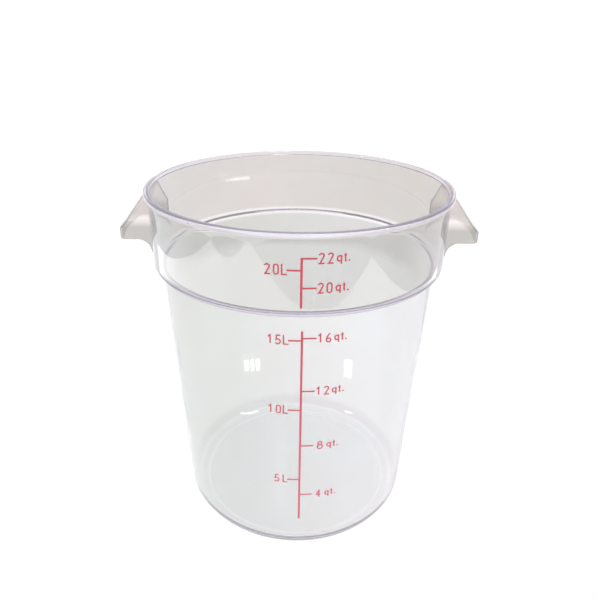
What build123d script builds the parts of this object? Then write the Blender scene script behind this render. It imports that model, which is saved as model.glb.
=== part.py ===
from build123d import *
import math
import os

# Sizes in millimetres, angles in degrees. +Z is up, -Y is the printed front, +X the right handle.

# Tub, outside
height = 376.0
rimRadius = 161.0
beadDepth = 2.8
beadHeight = 5.0
beadRound = 1.0
collarDraft = 2.7
stepRound = 2.6
stepInnerRound = 0.8
stepDepth = 8.0
bodyDraft = 18.5
cornerRadius = 18.0

# Height of the step, as a share of the tub's height
stepShare = 0.78936

# Tub, inside
wall = 3.2
floorTop = 5.0
lipRound = 1.6
ledgeCornerRound = 0.8
ledgeEdgeRound = 4.0

# Foot ring and the gate nub under the floor
footRingWidth = 3.0
footRecess = 0.8
footSlope = 10.0
footRound = 1.0
nubRadius = 4.0
nubHeight = 0.5

# Handle: a hollow ear, open below, with a conical roof that is hipped at both ends
earOverhang = 27.0
earHalfWidth = 40.0
earCornerRound = 8.0
earWall = 2.6
earRoofDrop = 7.0
earRoofSlope = 1.27
earCreaseDrop = 24.0
earHipSlope = 1.2
earDepth = 45.0
earCurveRadius = 14.0
earCurveOffset = 10.0
earTipRound = 4.0
earInnerRound = 1.0

# Printed scale
film = 0.15
collarLineX = 3.2
bodyLineX = 4.7
lineWidth = 2.1
tickWidth = 1.6
tickRight = 13.0
tickLeft = 12.6
stroke = 1.35
digitHeight = 8.95
digitWidth = 3.9
digitPitch = 7.5
digitGap = 1.45
soloShift = 3.2
soloGap = 1.5
letterLWidth = 4.6
letterLStart = 16.6
letterLLift = 0.6
letterLGap = 2.8
letterQGap = 3.8
letterLift = 1.5
letterSpace = 2.2
bowlWidth = 3.3
bowlHeight = 4.6
qTail = 2.7
tHeight = 6.8
tWidth = 2.4
dotSide = 1.5

# Heights of the marks and line ends, as shares of the collar above the step and of the body below it
collarQuartShares = {22: 0.7096, 20: 0.3636}
collarLitreShares = {20: 0.5732}
bodyQuartShares = {16: 0.9137, 12: 0.7156, 8: 0.4902, 4: 0.2685}
bodyLitreShares = {15: 0.9057, 10: 0.6402, 5: 0.3392}
upperLineFootShare = 0.1212
lowerLineShares = (0.1506, 0.9394)

# Shares of a glyph's width or height, and the angles of its curves
flagShare = 0.24
oneStemShare = 0.55
fourBarShare = 0.3
fourStemShare = 0.74
fiveTopShare = 0.1
fiveWaistShare = 0.56
eightTopShare = 0.45
tBarShare = 0.72
quarterTurn = 90.0
halfTurn = 180.0
twoStartAngle = 170.0
twoSweepAngle = 205.0
fiveStartAngle = 145.0
fiveSweepAngle = 290.0
sixRiseAngle = 50.0

# One overrun for every cut
overrun = 30.0

stepHeight = height * stepShare
collarRise = height - stepHeight
collarTopRadius = rimRadius - beadDepth
collarFootRadius = collarTopRadius - collarDraft
bodyTopRadius = collarFootRadius - stepDepth
bodyFootRadius = bodyTopRadius - bodyDraft

earReach = rimRadius + earOverhang
earRoofStart = height - earRoofDrop
earCrease = earRoofStart - earCreaseDrop
earEdge = earRoofStart - earDepth
earCurveStart = collarFootRadius + earCurveOffset
earRootRadius = bodyTopRadius


def bodyRadius(z):
    # Outside of the tapered body
    return bodyFootRadius + (bodyTopRadius - bodyFootRadius) * z / stepHeight


def collarRadius(z):
    # Outside of the tapered collar
    return collarFootRadius + (collarTopRadius - collarFootRadius) * (z - stepHeight) / collarRise


def roundedFace(corners):
    # Closed outline through the corners (r, z, rounding), each rounded where its rounding is not zero
    face = make_face(Polyline(*[(r, z) for r, z, _ in corners], close=True))
    for r, z, rounding in corners:
        if rounding > 0:
            corner = face.vertices().sort_by_distance((r, z, 0))[0]
            face = fillet(corner, rounding)
    return face


def turned(face):
    # Full turn of an r-z outline about the tub's axis
    return revolve(Plane.XZ * face, axis=Axis.Z)


def outsideCorners():
    # The tub's outside from the foot to the rim
    beadFoot = height - beadHeight
    return [
        (bodyFootRadius, 0, cornerRadius),
        (bodyTopRadius, stepHeight, stepInnerRound),
        (collarFootRadius, stepHeight, stepRound),
        (collarRadius(beadFoot), beadFoot, 0),
        (rimRadius, beadFoot, beadRound),
        (rimRadius, height, lipRound),
    ]


def insideCorners():
    # The tub's inside from the rim to the floor
    floorRadius = bodyRadius(floorTop) - wall
    ledge = stepHeight + wall
    return [
        (collarTopRadius - wall, height, lipRound),
        (collarFootRadius - wall, ledge, ledgeCornerRound),
        (bodyTopRadius - wall, ledge, ledgeEdgeRound),
        (floorRadius, floorTop, cornerRadius - wall),
        (0, floorTop, 0),
    ]


def tub():
    # One moulding: floor, tapered wall, step, collar and rim bead, turned from one outline
    ringInside = bodyFootRadius - cornerRadius - footRingWidth
    foot = [
        (0, footRecess, 0),
        (ringInside - footSlope, footRecess, footRound),
        (ringInside, 0, footRound),
    ]
    shell = turned(roundedFace(foot + outsideCorners() + insideCorners()))
    nub = Pos(0, 0, footRecess - nubHeight) * Cylinder(
        nubRadius, nubHeight, align=(Align.CENTER, Align.CENTER, Align.MIN))
    return shell + nub


def filledTub():
    # The tub's outside as a full solid, to cut the handles to its wall
    return turned(roundedFace([(0, 0, 0)] + outsideCorners() + [(0, height, 0)]))


def earBlock(inset):
    # The handle's outside, or its inside when inset by the wall
    reach = earReach - inset
    side = earHalfWidth - inset
    bottom = earEdge - overrun
    plan = Circle(reach) & Pos(reach, 0) * Rectangle(reach + reach, side + side)
    tips = plan.vertices().group_by(Axis.X)[-1]
    plan = fillet(tips, max(earCornerRound - inset, earWall))
    post = Pos(0, 0, bottom) * extrude(plan, amount=height - bottom)

    # Cone-shaped roof that falls away from the rim
    roofDrop = inset * math.hypot(1, earRoofSlope)
    roofTop = earRoofStart + (rimRadius - earRootRadius) * earRoofSlope - roofDrop
    roofTip = earRoofStart - (reach - rimRadius) * earRoofSlope - roofDrop
    roof = turned(roundedFace([
        (0, bottom, 0),
        (reach, bottom, 0),
        (reach, roofTip, max(earTipRound - inset, earInnerRound)),
        (earRootRadius, roofTop, 0),
        (0, roofTop, 0),
    ]))

    # Hips that slope down to the two side plates
    hipDrop = inset * (math.hypot(1, earHipSlope) - earHipSlope)
    crease = earCrease - hipDrop
    ridge = crease + side * earHipSlope
    hips = make_face(Polyline(
        (-side, bottom), (-side, crease), (0, ridge), (side, crease), (side, bottom), close=True))
    prism = extrude(Plane.YZ * hips, amount=reach)
    return post & roof & prism


def earUndercut():
    # Everything below the handle's lower edge: level outside, then curving down to the wall
    bottom = earEdge - overrun - overrun
    level = earEdge - earCurveRadius
    root = earCurveStart - earCurveRadius
    outer = earReach + overrun
    diagonal = earCurveRadius * math.sqrt(2) / 2
    outline = Polyline(
        (root, level), (0, level), (0, bottom), (outer, bottom),
        (outer, earEdge), (earCurveStart, earEdge))
    curve = ThreePointArc(
        (earCurveStart, earEdge),
        (earCurveStart - diagonal, level + diagonal),
        (root, level))
    side = Plane.XZ * make_face([*outline.edges(), curve])
    return extrude(side, amount=earHalfWidth + overrun, both=True)


def handleRight():
    # Hollow ear whose root is cut to the collar's outside and the bead's underside
    ear = earBlock(0) - earBlock(earWall)
    return ear - earUndercut() - filledTub()


def filmShell(low, high, radiusAt):
    # Thin sleeve on the wall between two heights, which the print is cut from
    sleeve = make_face(Polyline(
        (radiusAt(low), low), (radiusAt(high), high),
        (radiusAt(high) + film, high), (radiusAt(low) + film, low), close=True))
    return turned(sleeve)


def printed(shape, z):
    # Lays a flat print on the front wall at height z
    slab = extrude(Plane.XZ * shape, amount=rimRadius)
    if z > stepHeight:
        return slab & filmShell(stepHeight + wall, height - beadHeight - wall, collarRadius)
    return slab & filmShell(cornerRadius, stepHeight - wall, bodyRadius)


def line(a, b):
    return trace(Line(a, b), line_width=stroke)


def ring(x, z, radius):
    hole = Circle(radius - stroke / 2)
    return Pos(x, z) * (Circle(radius + stroke / 2) - hole)


def zero(w, h):
    outer = SlotOverall(h + stroke, w + stroke, rotation=quarterTurn)
    inner = SlotOverall(h - stroke, w - stroke, rotation=quarterTurn)
    return Pos(w / 2, h / 2) * (outer - inner)


def one(w, h):
    stem = w * oneStemShare
    flag = (stem - w / 2, h - h * flagShare)
    return line((stem, 0), (stem, h + stroke / 2)) + line((stem, h), flag)


def two(w, h):
    arc = CenterArc((w / 2, h - w / 2), w / 2, twoStartAngle, -twoSweepAngle)
    corner = (stroke / 2, 0)
    base = line((-stroke / 2, 0), (w + stroke / 2, 0))
    return trace(arc, line_width=stroke) + line(arc @ 1, corner) + base


def four(w, h):
    stem = w * fourStemShare
    bar = h * fourBarShare
    upright = line((stem, -stroke / 2), (stem, h + stroke / 2))
    return upright + line((stem, h), (0, bar)) + line((0, bar), (w + stroke / 2, bar))


def five(w, h):
    waist = h * fiveWaistShare
    left = w * fiveTopShare
    radius = waist / 2
    bowl = CenterArc((w - radius, radius), radius, fiveStartAngle, -fiveSweepAngle)
    top = line((left - stroke / 2, h), (w, h))
    stem = line((left, h), (left, waist - stroke / 2))
    return trace(bowl, line_width=stroke) + top + stem


def six(w, h):
    # Round bowl with an arc that rises from its left side to the full height
    rise = (h - w / 2) / math.sin(math.radians(sixRiseAngle))
    arc = CenterArc((rise, w / 2), rise, halfTurn, -sixRiseAngle)
    return ring(w / 2, w / 2, w / 2) + trace(arc, line_width=stroke)


def eight(w, h):
    top = h * eightTopShare / 2
    low = h / 2 - top
    return ring(w / 2, low, low) + ring(w / 2, h - top, top)


def letterL(w, h):
    return line((0, -stroke / 2), (0, h + stroke / 2)) + line((0, 0), (w, 0))


def letterQ():
    # Tall narrow bowl with its stem on the right
    bowl = zero(bowlWidth, bowlHeight)
    return bowl + line((bowlWidth, -qTail), (bowlWidth, bowlHeight + stroke / 2))


def letterT():
    bar = tHeight * tBarShare
    stem = tWidth / 2
    foot = line((stem, 0), (tWidth, 0))
    return line((stem, -stroke / 2), (stem, tHeight)) + line((0, bar), (tWidth, bar)) + foot


def unitQuart():
    # "qt." from x = 0 to the right
    tStart = bowlWidth + letterSpace
    dotStart = tStart + tWidth + letterSpace
    dot = Pos(dotStart, 0) * Rectangle(dotSide, dotSide)
    return letterQ() + Pos(tStart, 0) * letterT() + dot


glyphs = {"0": zero, "1": one, "2": two, "4": four, "5": five, "6": six, "8": eight}


def digits(number, w, h):
    # The number's digits from x = 0 to the right
    shape = Sketch()
    for place, digit in enumerate(str(number)):
        shape += Pos(place * digitPitch, 0) * glyphs[digit](w, h)
    return shape


def lineX(z):
    # The printed line stands a little further right on the body than on the collar
    return collarLineX if z > stepHeight else bodyLineX


def quartMark(number, z):
    # Tick to the right of the line, the number and its unit
    tick = Pos(lineX(z) + tickRight / 2, z) * Rectangle(tickRight, tickWidth)
    places = len(str(number))
    start = lineX(z) + tickRight + digitGap
    unitX = start + (places - 1) * digitPitch + digitWidth + letterQGap
    if places == 1:
        start += soloShift
        unitX += soloShift + soloGap
    base = z - digitHeight / 2
    label = Pos(start, base) * digits(number, digitWidth, digitHeight)
    return printed(tick + label + Pos(unitX, base + letterLift) * unitQuart(), z)


def litreMark(number, z):
    # Tick to the left of the line, the unit and the number before it
    tick = Pos(lineX(z) - tickLeft / 2, z) * Rectangle(tickLeft, tickWidth)
    places = len(str(number))
    unitX = lineX(z) - letterLStart
    start = unitX - letterLGap - digitWidth - (places - 1) * digitPitch
    if places == 1:
        start -= soloGap
    base = z - digitHeight / 2 + letterLLift
    unit = Pos(unitX, base) * letterL(letterLWidth, digitHeight)
    return printed(tick + unit + Pos(start, base) * digits(number, digitWidth, digitHeight), z)


def scaleLine(low, high):
    # Vertical line that the ticks stand on
    return printed(Pos(lineX(low), (low + high) / 2) * Rectangle(lineWidth, high - low), high)


def collarHeight(share):
    return stepHeight + collarRise * share


def bodyHeight(share):
    return stepHeight * share


def parts():
    right = handleRight()
    upperTop = collarHeight(collarQuartShares[22]) + tickWidth / 2
    lowerFoot, lowerTop = lowerLineShares
    pieces = {
        "tub": tub(),
        "handle_right": right,
        "handle_left": mirror(right, about=Plane.YZ),
        "scale_line_upper": scaleLine(collarHeight(upperLineFootShare), upperTop),
        "scale_line_lower": scaleLine(bodyHeight(lowerFoot), bodyHeight(lowerTop)),
    }
    lines = pieces["scale_line_upper"] + pieces["scale_line_lower"]
    for heightAt, quarts, litres in (
        (collarHeight, collarQuartShares, collarLitreShares),
        (bodyHeight, bodyQuartShares, bodyLitreShares),
    ):
        for number, share in quarts.items():
            pieces[f"mark_{number}qt"] = quartMark(number, heightAt(share)) - lines
        for number, share in litres.items():
            pieces[f"mark_{number}l"] = litreMark(number, heightAt(share)) - lines
    return pieces


os.makedirs("parts", exist_ok=True)
for node, shape in parts().items():
    export_step(shape, f"parts/{node}.step")
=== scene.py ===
import math

import bpy
import numpy as np
from mathutils import Matrix, Vector


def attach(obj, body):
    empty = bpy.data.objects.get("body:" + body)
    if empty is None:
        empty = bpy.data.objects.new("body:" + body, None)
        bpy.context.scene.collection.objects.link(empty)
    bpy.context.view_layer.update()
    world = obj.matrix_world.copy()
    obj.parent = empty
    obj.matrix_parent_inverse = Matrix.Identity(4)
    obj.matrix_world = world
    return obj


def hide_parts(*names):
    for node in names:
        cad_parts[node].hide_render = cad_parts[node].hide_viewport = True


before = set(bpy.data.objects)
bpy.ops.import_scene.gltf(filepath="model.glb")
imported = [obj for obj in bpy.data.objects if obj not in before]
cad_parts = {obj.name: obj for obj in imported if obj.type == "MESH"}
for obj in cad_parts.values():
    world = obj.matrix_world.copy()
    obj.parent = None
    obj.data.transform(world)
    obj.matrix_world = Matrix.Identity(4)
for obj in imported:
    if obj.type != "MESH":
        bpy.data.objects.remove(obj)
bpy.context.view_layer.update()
print("frame loaded")

# sizes in metres, as the solids have them
tubSizes = {
    "height": 0.376, "rim": 0.161, "bead": 0.0028, "beadHeight": 0.005, "beadRound": 0.001,
    "step": 0.2968, "collarFoot": 0.1555, "stepRound": 0.0026, "stepInner": 0.0008,
    "bodyTop": 0.1475, "bodyFoot": 0.129, "corner": 0.018,
    "wall": 0.0032, "floor": 0.005, "lip": 0.0016, "ledgeCorner": 0.0008, "ledgeEdge": 0.004,
    "ring": 0.108, "recess": 0.0008, "slope": 0.010, "footRound": 0.001, "underBead": 0.0003,
}
# how finely the shell is divided: steps round the axis, points in an arc with a rounding below
# or above smallRound, mean length of the pieces of a straight run and their least number
meshing = {
    "turns": 288, "smallArc": 7, "largeArc": 16, "smallRound": 0.003, "straight": 0.012, "least": 3,
}


# meshes
def roundedPath(corners):
    # corners (r, z, rounding): straight runs with a tangent arc at each rounded corner.
    # arc: c + rho * (cos t * u + sin t * v), from one tangent point to the other
    pts = [(c[0], c[1]) for c in corners]
    out = [np.array([pts[0]])]
    for i in range(1, len(corners) - 1):
        p = np.array(pts[i])
        rho = corners[i][2]
        a = np.array(pts[i - 1]) - p
        b = np.array(pts[i + 1]) - p
        a /= np.linalg.norm(a)
        b /= np.linalg.norm(b)
        half = math.acos(np.clip(a @ b, -1, 1)) / 2
        if rho == 0:
            arc = np.array([p])
        else:
            cut = rho / math.tan(half)
            centre = p + (a + b) / np.linalg.norm(a + b) * rho / math.sin(half)
            start, end = p + a * cut - centre, p + b * cut - centre
            sweep = math.pi - 2 * half
            steps = meshing["smallArc"] if rho < meshing["smallRound"] else meshing["largeArc"]
            t = np.linspace(0, 1, steps)[:, None] * sweep
            v = end - start * math.cos(sweep)
            v *= rho / np.linalg.norm(v)
            arc = centre + np.cos(t) * start + np.sin(t) * v
        out.append(straight(out[-1][-1], arc[0]))
        out.append(arc)
    out.append(straight(out[-1][-1], np.array(pts[-1])))
    out.append(np.array([pts[-1]]))
    return np.concatenate(out)


def straight(a, b):
    # inner points of the straight run, closer at its ends than in its middle
    n = max(int(np.linalg.norm(b - a) / meshing["straight"]), meshing["least"])
    t = (1 - np.cos(np.linspace(0, 1, n + 1)[1:-1] * math.pi)) / 2
    return a + t[:, None] * (b - a)


def addMesh(name, points, faces, smooth=True):
    mesh = bpy.data.meshes.new(name)
    mesh.from_pydata(points.tolist(), [], faces)
    mesh.polygons.foreach_set("use_smooth", np.full(len(mesh.polygons), smooth))
    mesh.update()
    obj = bpy.data.objects.new(name, mesh)
    bpy.context.scene.collection.objects.link(obj)
    return obj


def latheMesh(name, path, segments):
    # ring j, turn i: (r_j cos phi_i, r_j sin phi_i, z_j); both ends of the path lie on the axis
    phi = np.arange(segments) * 2 * math.pi / segments
    rings = path[1:-1]
    x = rings[:, :1] * np.cos(phi)
    y = rings[:, :1] * np.sin(phi)
    z = np.repeat(rings[:, 1:], segments, 1)
    co = np.stack([x, y, z], -1).reshape(-1, 3)
    co = np.concatenate([co, [[0, 0, path[0, 1]], [0, 0, path[-1, 1]]]])
    j, i = np.meshgrid(np.arange(len(rings) - 1), np.arange(segments), indexing="ij")
    n = (i + 1) % segments
    quads = np.stack([j * segments + i, j * segments + n,
                      (j + 1) * segments + n, (j + 1) * segments + i], -1).reshape(-1, 4)
    turn = np.arange(segments)
    after = (turn + 1) % segments
    last = (len(rings) - 1) * segments
    foot = np.stack([np.full(segments, len(co) - 2), after, turn], -1)
    top = np.stack([np.full(segments, len(co) - 1), last + turn, last + after], -1)
    return addMesh(name, co, quads.tolist() + foot.tolist() + top.tolist())


def tubPath(s):
    beadFoot = s["height"] - s["beadHeight"]
    top = s["rim"] - s["bead"]
    rise = (top - s["collarFoot"]) / (s["height"] - s["step"])
    taper = (s["bodyTop"] - s["bodyFoot"]) / s["step"]
    ledge = s["step"] + s["wall"]
    corners = [
        (0, s["recess"], 0),
        (s["ring"] - s["slope"], s["recess"], s["footRound"]),
        (s["ring"], 0, s["footRound"]),
        (s["bodyFoot"], 0, s["corner"]),
        (s["bodyTop"], s["step"], s["stepInner"]),
        (s["collarFoot"], s["step"], s["stepRound"]),
        (s["collarFoot"] + rise * (beadFoot - s["step"]), beadFoot, s["underBead"]),
        (s["rim"], beadFoot, s["beadRound"]),
        (s["rim"], s["height"], s["lip"]),
        (top - s["wall"], s["height"], s["lip"]),
        (s["collarFoot"] - s["wall"], ledge, s["ledgeCorner"]),
        (s["bodyTop"] - s["wall"], ledge, s["ledgeEdge"]),
        (s["bodyFoot"] + taper * s["floor"] - s["wall"], s["floor"], s["corner"] - s["wall"]),
        (0, s["floor"], 0),
    ]
    return roundedPath(corners)


tubGlass = latheMesh("tub_shell", tubPath(tubSizes), meshing["turns"])
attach(tubGlass, "root")
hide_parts("tub")
print("tub made")


# materials
def newMaterial(name):
    mat = bpy.data.materials.new(name)
    mat.use_nodes = True
    nodes, links = mat.node_tree.nodes, mat.node_tree.links
    return mat, nodes, links, nodes["Principled BSDF"]


def linear(r, g, b):
    # sRGB byte to linear: (c + 0.055) / 1.055 to the power 2.4
    return tuple(((c / 255 + 0.055) / 1.055) ** 2.4 for c in (r, g, b)) + (1,)


noiseRange = (0.35, 0.65)  # where most values of the noise lie


def noiseGroup(name, detail, stretch):
    # noise on Object coordinates, its range widened to 0..1; its scale is an input
    group = bpy.data.node_groups.new(name, "ShaderNodeTree")
    group.interface.new_socket("Scale", in_out="INPUT", socket_type="NodeSocketFloat")
    group.interface.new_socket("Value", in_out="OUTPUT", socket_type="NodeSocketFloat")
    nodes, links = group.nodes, group.links
    start, end = nodes.new("NodeGroupInput"), nodes.new("NodeGroupOutput")
    coords = nodes.new("ShaderNodeTexCoord")
    squeeze = nodes.new("ShaderNodeMapping")
    squeeze.inputs["Scale"].default_value = stretch
    noise = nodes.new("ShaderNodeTexNoise")
    noise.inputs["Detail"].default_value = detail
    spread = nodes.new("ShaderNodeMapRange")
    spread.inputs["From Min"].default_value, spread.inputs["From Max"].default_value = noiseRange
    links.new(coords.outputs["Object"], squeeze.inputs["Vector"])
    links.new(squeeze.outputs[0], noise.inputs["Vector"])
    links.new(start.outputs["Scale"], noise.inputs["Scale"])
    links.new(noise.outputs[0], spread.inputs["Value"])
    links.new(spread.outputs[0], end.inputs["Value"])
    return group


def place(nodes, group, scale):
    node = nodes.new("ShaderNodeGroup")
    node.node_tree = group
    node.inputs["Scale"].default_value = scale
    return node.outputs["Value"]


def mapped(nodes, links, value, low, high):
    # value 0..1 to low..high
    node = nodes.new("ShaderNodeMapRange")
    node.inputs["To Min"].default_value = low
    node.inputs["To Max"].default_value = high
    links.new(value, node.inputs["Value"])
    return node.outputs[0]


def along(nodes, links, axis, low, high):
    # 0 to 1 between two places on an object axis, in metres
    coords = nodes.new("ShaderNodeTexCoord")
    xyz = nodes.new("ShaderNodeSeparateXYZ")
    share = nodes.new("ShaderNodeMapRange")
    share.inputs["From Min"].default_value = low
    share.inputs["From Max"].default_value = high
    links.new(coords.outputs["Object"], xyz.inputs[0])
    links.new(xyz.outputs[axis], share.inputs["Value"])
    return share.outputs[0]


def placeRamp(nodes, links, low, high, stops, look, axis="Z"):
    # colour by place between low and high, in metres; stops are (place, key)
    ramp = nodes.new("ShaderNodeValToRGB")
    links.new(along(nodes, links, axis, low, high), ramp.inputs[0])
    while len(ramp.color_ramp.elements) < len(stops):
        ramp.color_ramp.elements.new(0.5)
    for stop, (z, key) in zip(ramp.color_ramp.elements, stops):
        stop.position = (z - low) / (high - low)
        stop.color = look[key]
    return ramp.outputs[0]


def mixed(nodes, links, factor, a, b, blend="MIX"):
    # factor, a and b are sockets or constants
    node = nodes.new("ShaderNodeMix")
    node.data_type = "RGBA"
    node.blend_type = blend
    for value, socket in ((factor, node.inputs[0]), (a, node.inputs[6]), (b, node.inputs[7])):
        if isinstance(value, bpy.types.NodeSocket):
            links.new(value, socket)
        else:
            socket.default_value = value
    return node.outputs[2]


waves = noiseGroup("mouldWaves", 2, (1, 1, 0.35))  # long soft waves of the moulding
wear = noiseGroup("handlingWear", 4, (1, 1, 1))  # patches of haze or worn print
scuffs = noiseGroup("fineScuffs", 2, (1, 1, 0.08))  # fine upright scuffs
surface = {"ior": 1.585, "bumpDepth": 0.003, "hazeScale": 40, "scuffScale": 300}


def plastic(name, look, colour):
    # clear plastic: look's values, tinted by the colour socket, with its painted light and shade, that
    # colour() puts out
    mat, nodes, links, shader = newMaterial(name)
    tint = colour(nodes, links)
    drift = mapped(nodes, links, place(nodes, wear, look["driftScale"]), 0, look["drift"])
    links.new(mixed(nodes, links, drift, tint, look["warm"], "MULTIPLY"), shader.inputs["Base Color"])
    bump = nodes.new("ShaderNodeBump")
    bump.inputs["Strength"].default_value = look["waves"]
    bump.inputs["Distance"].default_value = surface["bumpDepth"]
    links.new(place(nodes, waves, look["waveScale"]), bump.inputs["Height"])
    links.new(bump.outputs[0], shader.inputs["Normal"])
    haze = nodes.new("ShaderNodeMath")
    haze.operation = "MULTIPLY"
    links.new(place(nodes, wear, surface["hazeScale"]), haze.inputs[0])
    links.new(place(nodes, scuffs, surface["scuffScale"]), haze.inputs[1])
    links.new(mapped(nodes, links, haze.outputs[0], look["rough"], look["worn"]), shader.inputs["Roughness"])
    shader.inputs["IOR"].default_value = surface["ior"]
    shader.inputs["Transmission Weight"].default_value = look["through"]
    # painted glow: faint emission standing in for the light that runs along inside the plastic
    shader.inputs["Emission Strength"].default_value = look["glowStrength"]
    return mat, nodes, links, shader


def tubMaterial():
    look = {
        # by height, front then rear: the plastic's grey tint, with painted shade and light laid on it
        "floor": (0.855, 0.895, 0.855, 1), "foot": (0.71, 0.71, 0.70, 1),
        "body": (0.885, 0.903, 0.873, 1), "stepLow": (0.70, 0.66, 0.74, 1),
        "edge": (0.92, 0.90, 0.94, 1), "collar": (0.715, 0.73, 0.69, 1),
        "bodyRear": (0.68, 0.69, 0.645, 1), "edgeRear": (0.93, 0.92, 0.89, 1),
        "collarRear": (0.70, 0.675, 0.63, 1), "rimRear": (0.71, 0.70, 0.69, 1),
        # from left to right, body then collar: painted light and shade, body darker left and lighter right
        "farLeft": (0.885, 0.90, 0.88, 1), "left": (0.93, 0.95, 0.925, 1),
        "middle": (0.98, 0.985, 0.985, 1), "right": (1.03, 1.025, 1.04, 1),
        "farRight": (0.93, 0.93, 0.935, 1), "collarLeft": (0.99, 0.995, 1.005, 1),
        "collarMiddle": (1.0, 0.99, 1.0, 1), "collarRight": (0.96, 0.96, 0.955, 1),
        "warm": (1.0, 0.975, 0.965, 1), "drift": 1.0, "driftScale": 7,
        "rough": 0.02, "worn": 0.06, "waves": 0.05, "waveScale": 14, "through": 0.94,
        # painted glow by height, lifting the edge lines at the foot, corner, ledge and rim
        "footGlow": (0.15, 0.14, 0.15, 1), "cornerGlow": (0.06, 0.057, 0.063, 1),
        "wallGlow": (0.025, 0.023, 0.031, 1), "ledgeGlow": (0.045, 0.04, 0.05, 1),
        "rimGlow": (0.055, 0.048, 0.06, 1), "glowStrength": 1.0,
        "absorb": (0.66, 0.62, 0.87, 1), "density": 12,
        # how far the front turns into the rear, and the body's sides into the collar's
        "rearBlend": 0.07, "collarBlend": 0.004,
    }
    step, top = tubSizes["step"], tubSizes["height"]
    half = tubSizes["rim"]
    # stops as (place in metres, colour); heights on the collar are counted from the step and the top
    # painted by height: shade on the foot, collar and rear, a dark line below the step, light on the edges
    low = [(0.0, "floor"), (0.0049, "floor"), (0.0056, "foot"), (0.014, "foot"), (0.025, "body")]
    front = low + [
        (step - 0.003, "body"), (step - 0.0005, "stepLow"), (step + 0.0021, "stepLow"),
        (step + 0.0030, "edge"), (step + 0.0055, "collar"),
        (top - 0.0055, "collar"), (top - 0.0035, "edge")]
    rear = low + [
        (0.250, "body"), (0.268, "bodyRear"), (step - 0.003, "bodyRear"),
        (step - 0.0005, "edgeRear"), (step + 0.0035, "edgeRear"), (step + 0.0055, "collarRear"),
        (top - 0.0055, "collarRear"), (top - 0.0035, "rimRear")]
    paintedGlows = [
        (0.0015, "wallGlow"), (0.0029, "footGlow"), (0.0031, "footGlow"), (0.0044, "wallGlow"),
        (0.0052, "wallGlow"), (0.0066, "cornerGlow"), (0.018, "cornerGlow"), (0.026, "wallGlow"),
        (step + 0.0021, "wallGlow"), (step + 0.0028, "ledgeGlow"), (step + 0.0038, "ledgeGlow"),
        (step + 0.005, "wallGlow"), (top - 0.0055, "wallGlow"), (top - 0.0035, "rimGlow")]
    paintedSideLight = [
        (-0.145, "farLeft"), (-0.12, "left"), (-0.04, "middle"),
        (0.05, "right"), (0.11, "right"), (0.14, "farRight")]
    paintedCollarSideLight = [(-0.13, "collarLeft"), (-0.03, "collarMiddle"), (0.07, "collarRight")]

    def tint(nodes, links):
        # painted shade and light: front and rear differ, and so do left and right
        both = mixed(nodes, links, along(nodes, links, "Y", 0.0, look["rearBlend"]),
                     placeRamp(nodes, links, 0.0, top, front, look),
                     placeRamp(nodes, links, 0.0, top, rear, look))
        side = mixed(nodes, links, along(nodes, links, "Z", step, step + look["collarBlend"]),
                     placeRamp(nodes, links, -half, half, paintedSideLight, look, "X"),
                     placeRamp(nodes, links, -half, half, paintedCollarSideLight, look, "X"))
        return mixed(nodes, links, 1, both, side, "MULTIPLY")

    mat, nodes, links, shader = plastic("clearPlastic", look, tint)
    # painted glow on the edge lines, by height
    links.new(placeRamp(nodes, links, 0.0, top, paintedGlows, look), shader.inputs["Emission Color"])
    # the plastic takes more light where the way through it is long
    absorb = nodes.new("ShaderNodeVolumeAbsorption")
    absorb.inputs["Color"].default_value = look["absorb"]
    absorb.inputs["Density"].default_value = look["density"]
    links.new(absorb.outputs[0], nodes["Material Output"].inputs["Volume"])
    return mat


def handleMaterial():
    look = {
        # painted light and shade: the roof lighter and pinker, the plate below it much darker
        "roof": (0.965, 0.93, 0.915, 1), "plate": (0.54, 0.535, 0.505, 1),
        "warm": (1.0, 0.975, 0.97, 1), "drift": 1.0, "driftScale": 25,
        "rough": 0.07, "worn": 0.2, "waves": 0.15, "waveScale": 30, "through": 0.8,
        # painted glow, which lightens the handles
        "glow": (1.0, 0.92, 0.91, 1), "glowStrength": 0.055,
        "foot": 0.324, "plateTop": 0.337, "roofFoot": 0.346, "top": 0.371,
    }
    # painted shade on the plate, painted light on the roof, by height
    stops = [(look["plateTop"], "plate"), (look["roofFoot"], "roof")]

    def tint(nodes, links):
        return placeRamp(nodes, links, look["foot"], look["top"], stops, look)

    mat, nodes, links, shader = plastic("clearHandle", look, tint)
    shader.inputs["Emission Color"].default_value = look["glow"]
    return mat


def inkMaterial():
    look = {
        "upper": linear(224, 82, 94), "lower": linear(236, 118, 138), "pale": (1.0, 0.88, 0.9, 1),
        "wornScale": 600, "rough": 0.45,
    }
    mat, nodes, links, shader = newMaterial("redInk")
    stops = [(0.10, "lower"), (0.30, "upper")]
    tint = placeRamp(nodes, links, 0.0, tubSizes["height"], stops, look)
    worn = place(nodes, wear, look["wornScale"])
    links.new(mixed(nodes, links, worn, tint, look["pale"], "MULTIPLY"), shader.inputs["Base Color"])
    shader.inputs["Roughness"].default_value = look["rough"]
    return mat


clear = tubMaterial()
clearEar = handleMaterial()
ink = inkMaterial()
for name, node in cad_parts.items():
    node.data.materials.clear()
    isInk = name.startswith(("mark", "scale"))
    node.data.materials.append(ink if isInk else clearEar)
tubGlass.data.materials.append(clear)
print("materials made")


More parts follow.
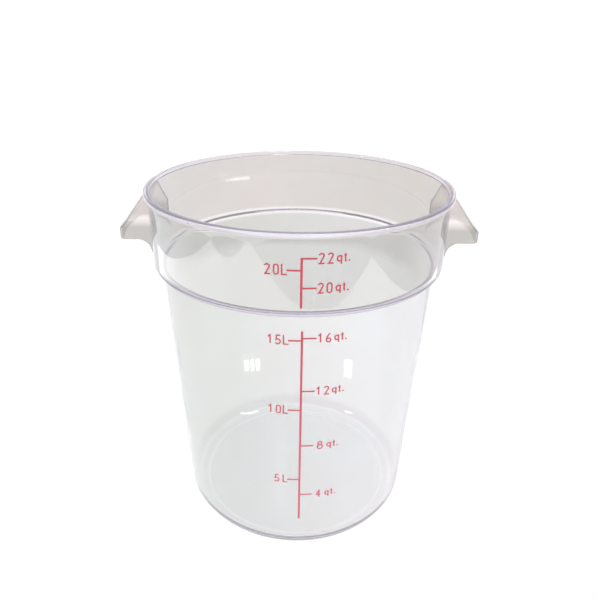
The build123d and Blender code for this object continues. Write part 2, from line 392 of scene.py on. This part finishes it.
# floor and backdrop: a sheet that runs back and curves up
def backdrop():
    # profile: flat to y = back, quarter circle of radius bend, then up to top
    size = {"half": 5.0, "front": -4.0, "back": 3.0, "bend": 1.0, "top": 3.0, "steps": 24}
    look = {"colour": (0.35, 0.35, 0.35, 1), "rough": 0.9, "glow": 0.83}
    t = np.linspace(0, math.pi / 2, size["steps"])
    y = np.concatenate([[size["front"]], size["back"] + size["bend"] * np.sin(t),
                        [size["back"] + size["bend"]]])
    z = np.concatenate([[0], size["bend"] * (1 - np.cos(t)), [size["top"]]])
    co = np.stack([np.repeat([[-size["half"]], [size["half"]]], len(y), 1),
                   np.stack([y, y]), np.stack([z, z])], -1).reshape(-1, 3)
    i = np.arange(len(y) - 1)
    faces = np.stack([i, i + len(y), i + len(y) + 1, i + 1], -1)
    obj = addMesh("floor", co, faces.tolist())
    mat, nodes, links, shader = newMaterial("paper")
    shader.inputs["Base Color"].default_value = look["colour"]
    shader.inputs["Roughness"].default_value = look["rough"]
    shader.inputs["Emission Color"].default_value = (1, 1, 1, 1)
    shader.inputs["Emission Strength"].default_value = look["glow"]
    obj.data.materials.append(mat)


backdrop()


# camera, solved from the outlines in the photograph: lengths in metres, angles in radians;
# focal, cx, cy and width in pixels of the picture, the sensor in millimetres
solved = {
    "focal": 582.01, "distance": 0.5996, "height": 0.5349,
    "pitch": 0.3845, "roll": 0.0072, "yaw": -0.0181, "cx": 288.15, "cy": 255.29,
    "width": 600, "sensor": 36, "near": 0.01, "far": 100,
}
eye = Vector((0, -solved["distance"], solved["height"]))


# lights
def lamp(name, target, way, distance, size, power, gloss=False):
    # area lamp at target + distance * way that faces the target; gloss: it only shows as a reflection
    data = bpy.data.lights.new(name, "AREA")
    data.shape = "RECTANGLE"
    data.size, data.size_y = size
    data.energy = power
    obj = bpy.data.objects.new(name, data)
    obj.location = Vector(target) + distance * way
    obj.rotation_euler = (-way).to_track_quat("-Z", "Y").to_euler()
    obj.visible_diffuse = not gloss
    bpy.context.scene.collection.objects.link(obj)
    return obj


def softbox(name, azimuth, elevation, distance, size, power, target=(0, 0, 0.2), gloss=False):
    # azimuth from the front, positive to the right
    a, e = math.radians(azimuth), math.radians(elevation)
    way = Vector((math.sin(a) * math.cos(e), -math.cos(a) * math.cos(e), math.sin(e)))
    lamp(name, target, way, distance, size, power, gloss)


def glint(azimuth, height, distance, size, power):
    # small near lamp that shows only as a mirror image, at this azimuth and height of the tapered wall:
    # r(z) = bodyFoot + slope * z, normal (sin a, -cos a, -slope), the line of sight mirrored in it
    slope = (tubSizes["bodyTop"] - tubSizes["bodyFoot"]) / tubSizes["step"]
    a = math.radians(azimuth)
    r = tubSizes["bodyFoot"] + slope * height
    point = Vector((r * math.sin(a), -r * math.cos(a), height))
    normal = Vector((math.sin(a), -math.cos(a), -slope)).normalized()
    way = (point - eye).normalized().reflect(normal)
    obj = lamp("glint", point, way, distance, size, power, gloss=True)
    obj.visible_camera = False
    obj.visible_transmission = False


def windows():
    # two windows in front, to the right and to the left, of wide panes side by side
    look = {"elevation": 25.5, "distance": 2.4, "pane": (0.21, 0.055), "apart": 8, "power": 10,
            "target": (0, 0, 0.02)}
    for middle, panes in ((55, 3), (-61, 2)):
        for pane in range(panes):
            azimuth = middle + look["apart"] * (pane - (panes - 1) / 2)
            softbox("window", azimuth, look["elevation"], look["distance"], look["pane"],
                    look["power"], look["target"], gloss=True)


softbox("top", 0, 80, 3.0, (3.0, 3.0), 5)
windows()
# a streak on the rear of the collar, and a spark on the rim
softbox("lowStrip", 60, -11, 1.3, (0.62, 0.008), 0.12, (-0.09, 0.12, 0.348), gloss=True)
softbox("rimGlint", 20, 50, 2.4, (0.5, 0.5), 3, gloss=True)

# mirror images on the wall: azimuth, height, distance, size, power
glints = [
    # panes of the left window
    (-18.7, 0.2359, 0.28, (0.0185, 0.015), 0.0035),
    (-16.4, 0.2377, 0.28, (0.0182, 0.0165), 0.0035),
    (-14.3, 0.2394, 0.28, (0.018, 0.015), 0.0045),
    # pane of the right window
    (19.6, 0.2339, 0.28, (0.037, 0.025), 0.009),
    # streaks below them, left and right
    (-18.6, 0.1796, 0.2, (0.066, 0.0025), 0.0025),
    (21.3, 0.1815, 0.2, (0.031, 0.0025), 0.001),
]
for values in glints:
    glint(*values)


# glowing sheet on the floor, in front of the tub, that only shows as a mirror image: a painted reflection
def mirrorGlowSheet():
    # inner edge r(a) = inner + widen * a * a, a in radians; outer edge from cusp to cusp:
    # the straight run less depth * (1 - |2 u - 1| ** bend), u = 0..1;
    # at one azimuth a narrow strip runs on to its reach
    size = {
        "inner": 0.61, "widen": 0.018, "height": 0.002, "points": 1151,
        "cusps": [-125, -60, -33, 50, 125], "radii": [0.90, 0.965, 0.985, 0.875, 0.78],
        "depths": [0.10, 0.11, 0.28, 0.14], "bend": 2.2,
        "stripAzimuth": 11, "stripHalf": 0.25, "reach": 1.0, "strength": 2.6,
    }
    cusps = np.array(size["cusps"])
    a = np.linspace(cusps[0], cusps[-1], size["points"])
    i = np.clip(np.searchsorted(cusps, a, "right") - 1, 0, len(cusps) - 2)
    u = (a - cusps[i]) / (cusps[i + 1] - cusps[i])
    dip = np.array(size["depths"])[i] * (1 - np.abs(2 * u - 1) ** size["bend"])
    r = np.interp(a, cusps, size["radii"]) - dip
    r = np.where(np.abs(a - size["stripAzimuth"]) < size["stripHalf"], size["reach"], r)
    a = np.radians(a)
    ring = np.stack([size["inner"] + size["widen"] * a ** 2, r])
    co = np.stack([ring * np.sin(a), -ring * np.cos(a), np.full(ring.shape, size["height"])], -1)
    i = np.arange(len(a) - 1)
    faces = np.stack([i, i + 1, i + 1 + len(a), i + len(a)], -1)
    obj = addMesh("mirrorGlowSheet", co.reshape(-1, 3), faces.tolist(), smooth=False)
    # painted reflection: an emitting sheet that lights nothing and shows only in mirror images
    mat, nodes, links, shader = newMaterial("mirrorGlowSheet")
    shader.inputs["Base Color"].default_value = (0, 0, 0, 1)
    shader.inputs["Emission Color"].default_value = (1, 1, 1, 1)
    shader.inputs["Emission Strength"].default_value = size["strength"]
    obj.data.materials.append(mat)
    obj.visible_camera = False
    obj.visible_diffuse = False
    obj.visible_transmission = False
    obj.visible_shadow = False


mirrorGlowSheet()


def makeWorld():
    # pale to the camera and in glass and mirror images, dimmer as a light
    look = {"colour": (0.95, 0.94, 0.98, 1), "light": 0.54, "seen": 0.9}
    world = bpy.data.worlds.new("room")
    world.use_nodes = True
    bpy.context.scene.world = world
    nodes, links = world.node_tree.nodes, world.node_tree.links
    background = nodes["Background"]
    background.inputs["Color"].default_value = look["colour"]
    path = nodes.new("ShaderNodeLightPath")
    seen, ways = nodes.new("ShaderNodeMath"), nodes.new("ShaderNodeMath")
    ways.use_clamp = True
    links.new(path.outputs["Is Camera Ray"], seen.inputs[0])
    links.new(path.outputs["Is Glossy Ray"], seen.inputs[1])
    links.new(seen.outputs[0], ways.inputs[0])
    links.new(path.outputs["Is Transmission Ray"], ways.inputs[1])
    strength = mapped(nodes, links, ways.outputs[0], look["light"], look["seen"])
    links.new(strength, background.inputs["Strength"])


makeWorld()
print("stage made")


def makeCamera():
    pitch, yaw, roll = solved["pitch"], solved["yaw"], solved["roll"]
    forward = Vector((math.sin(yaw) * math.cos(pitch), math.cos(yaw) * math.cos(pitch), -math.sin(pitch)))
    right = Vector((math.cos(yaw), -math.sin(yaw), 0))
    up = right.cross(forward)
    rolledRight = math.cos(roll) * right + math.sin(roll) * up
    rolledUp = math.cos(roll) * up - math.sin(roll) * right
    data = bpy.data.cameras.new("camera")
    data.sensor_width = solved["sensor"]
    data.lens = solved["focal"] / solved["width"] * data.sensor_width
    data.shift_x = (solved["width"] / 2 - solved["cx"]) / solved["width"]
    data.shift_y = (solved["cy"] - solved["width"] / 2) / solved["width"]
    data.clip_start = solved["near"]
    data.clip_end = solved["far"]
    obj = bpy.data.objects.new("camera", data)
    turn = Matrix((rolledRight, rolledUp, -forward)).transposed().to_4x4()
    obj.matrix_world = Matrix.Translation(eye) @ turn
    bpy.context.scene.collection.objects.link(obj)
    bpy.context.scene.camera = obj


makeCamera()
bpy.context.scene.view_settings.view_transform = "Standard"
bpy.context.view_layer.update()
print("camera set")
